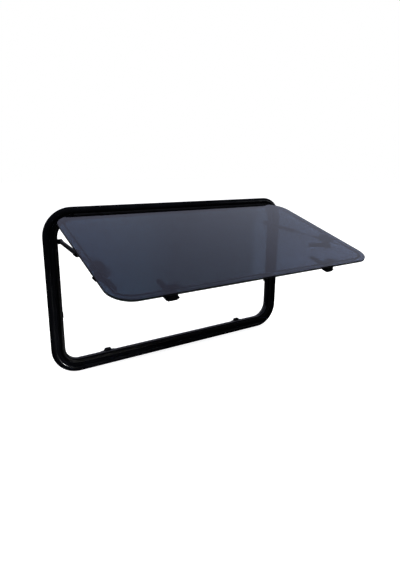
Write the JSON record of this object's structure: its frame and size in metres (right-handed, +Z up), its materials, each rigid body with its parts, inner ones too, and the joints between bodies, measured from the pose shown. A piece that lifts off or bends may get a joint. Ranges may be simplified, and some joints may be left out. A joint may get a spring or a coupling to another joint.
{
  "type": "caravan window",
  "caption": "Top-hung push-out caravan window with a round-cornered frame, smoked double glazing, telescopic stays and turn latches, propped open.",
  "frame": {"origin": "on the flange's flat back face, in the wall's outer skin, at the middle of the bottom member, half way across the flange", "axes": "+X to the right seen from outside, +Y into the vehicle through the wall, +Z up"},
  "size_m": [0.94, 0.5109, 0.54],
  "materials": {
    "frame": "satin black powder coat",
    "clamp_ring": "fine-grained black moulding",
    "seal": "matte",
    "hinge": "black anodised",
    "outer_glazing": "smoked acrylic, gloss",
    "inner_glazing": "formed clear acrylic, gloss",
    "bond": "black glue film",
    "hardware": "black glass-filled nylon",
    "rod": "drawn"
  },
  "bodies": {
    "root": {"outer_frame": "frame", "clamp_ring": "clamp_ring", "sash_seal": "seal", "frame_hinge_rail": "hinge", "sash_hinge_rail": "hinge", "hinge_cap_left": "hardware", "hinge_cap_right": "hardware", "outer_pane": "outer_glazing", "inner_pane": "inner_glazing", "edge_bond": "bond", "stay_bracket_left": "hardware", "stay_bracket_right": "hardware", "stay_tube_left": "hardware", "stay_tube_right": "hardware", "stay_collar_left": "hardware", "stay_collar_right": "hardware", "stay_rod_left": "rod", "stay_rod_right": "rod", "stay_knob_left": "hardware", "stay_knob_right": "hardware", "sash_bracket_left": "hardware", "sash_bracket_right": "hardware", "latch_foot_bottom_left": "hardware", "latch_foot_bottom_right": "hardware", "latch_foot_side_left": "hardware", "latch_foot_side_right": "hardware", "latch_lever_bottom_left": "hardware", "latch_lever_bottom_right": "hardware", "latch_lever_side_left": "hardware", "latch_lever_side_right": "hardware", "striker_bottom_left": "hardware", "striker_bottom_right": "hardware", "striker_side_left": "hardware", "striker_side_right": "hardware"}
  },
  "joints": []
}
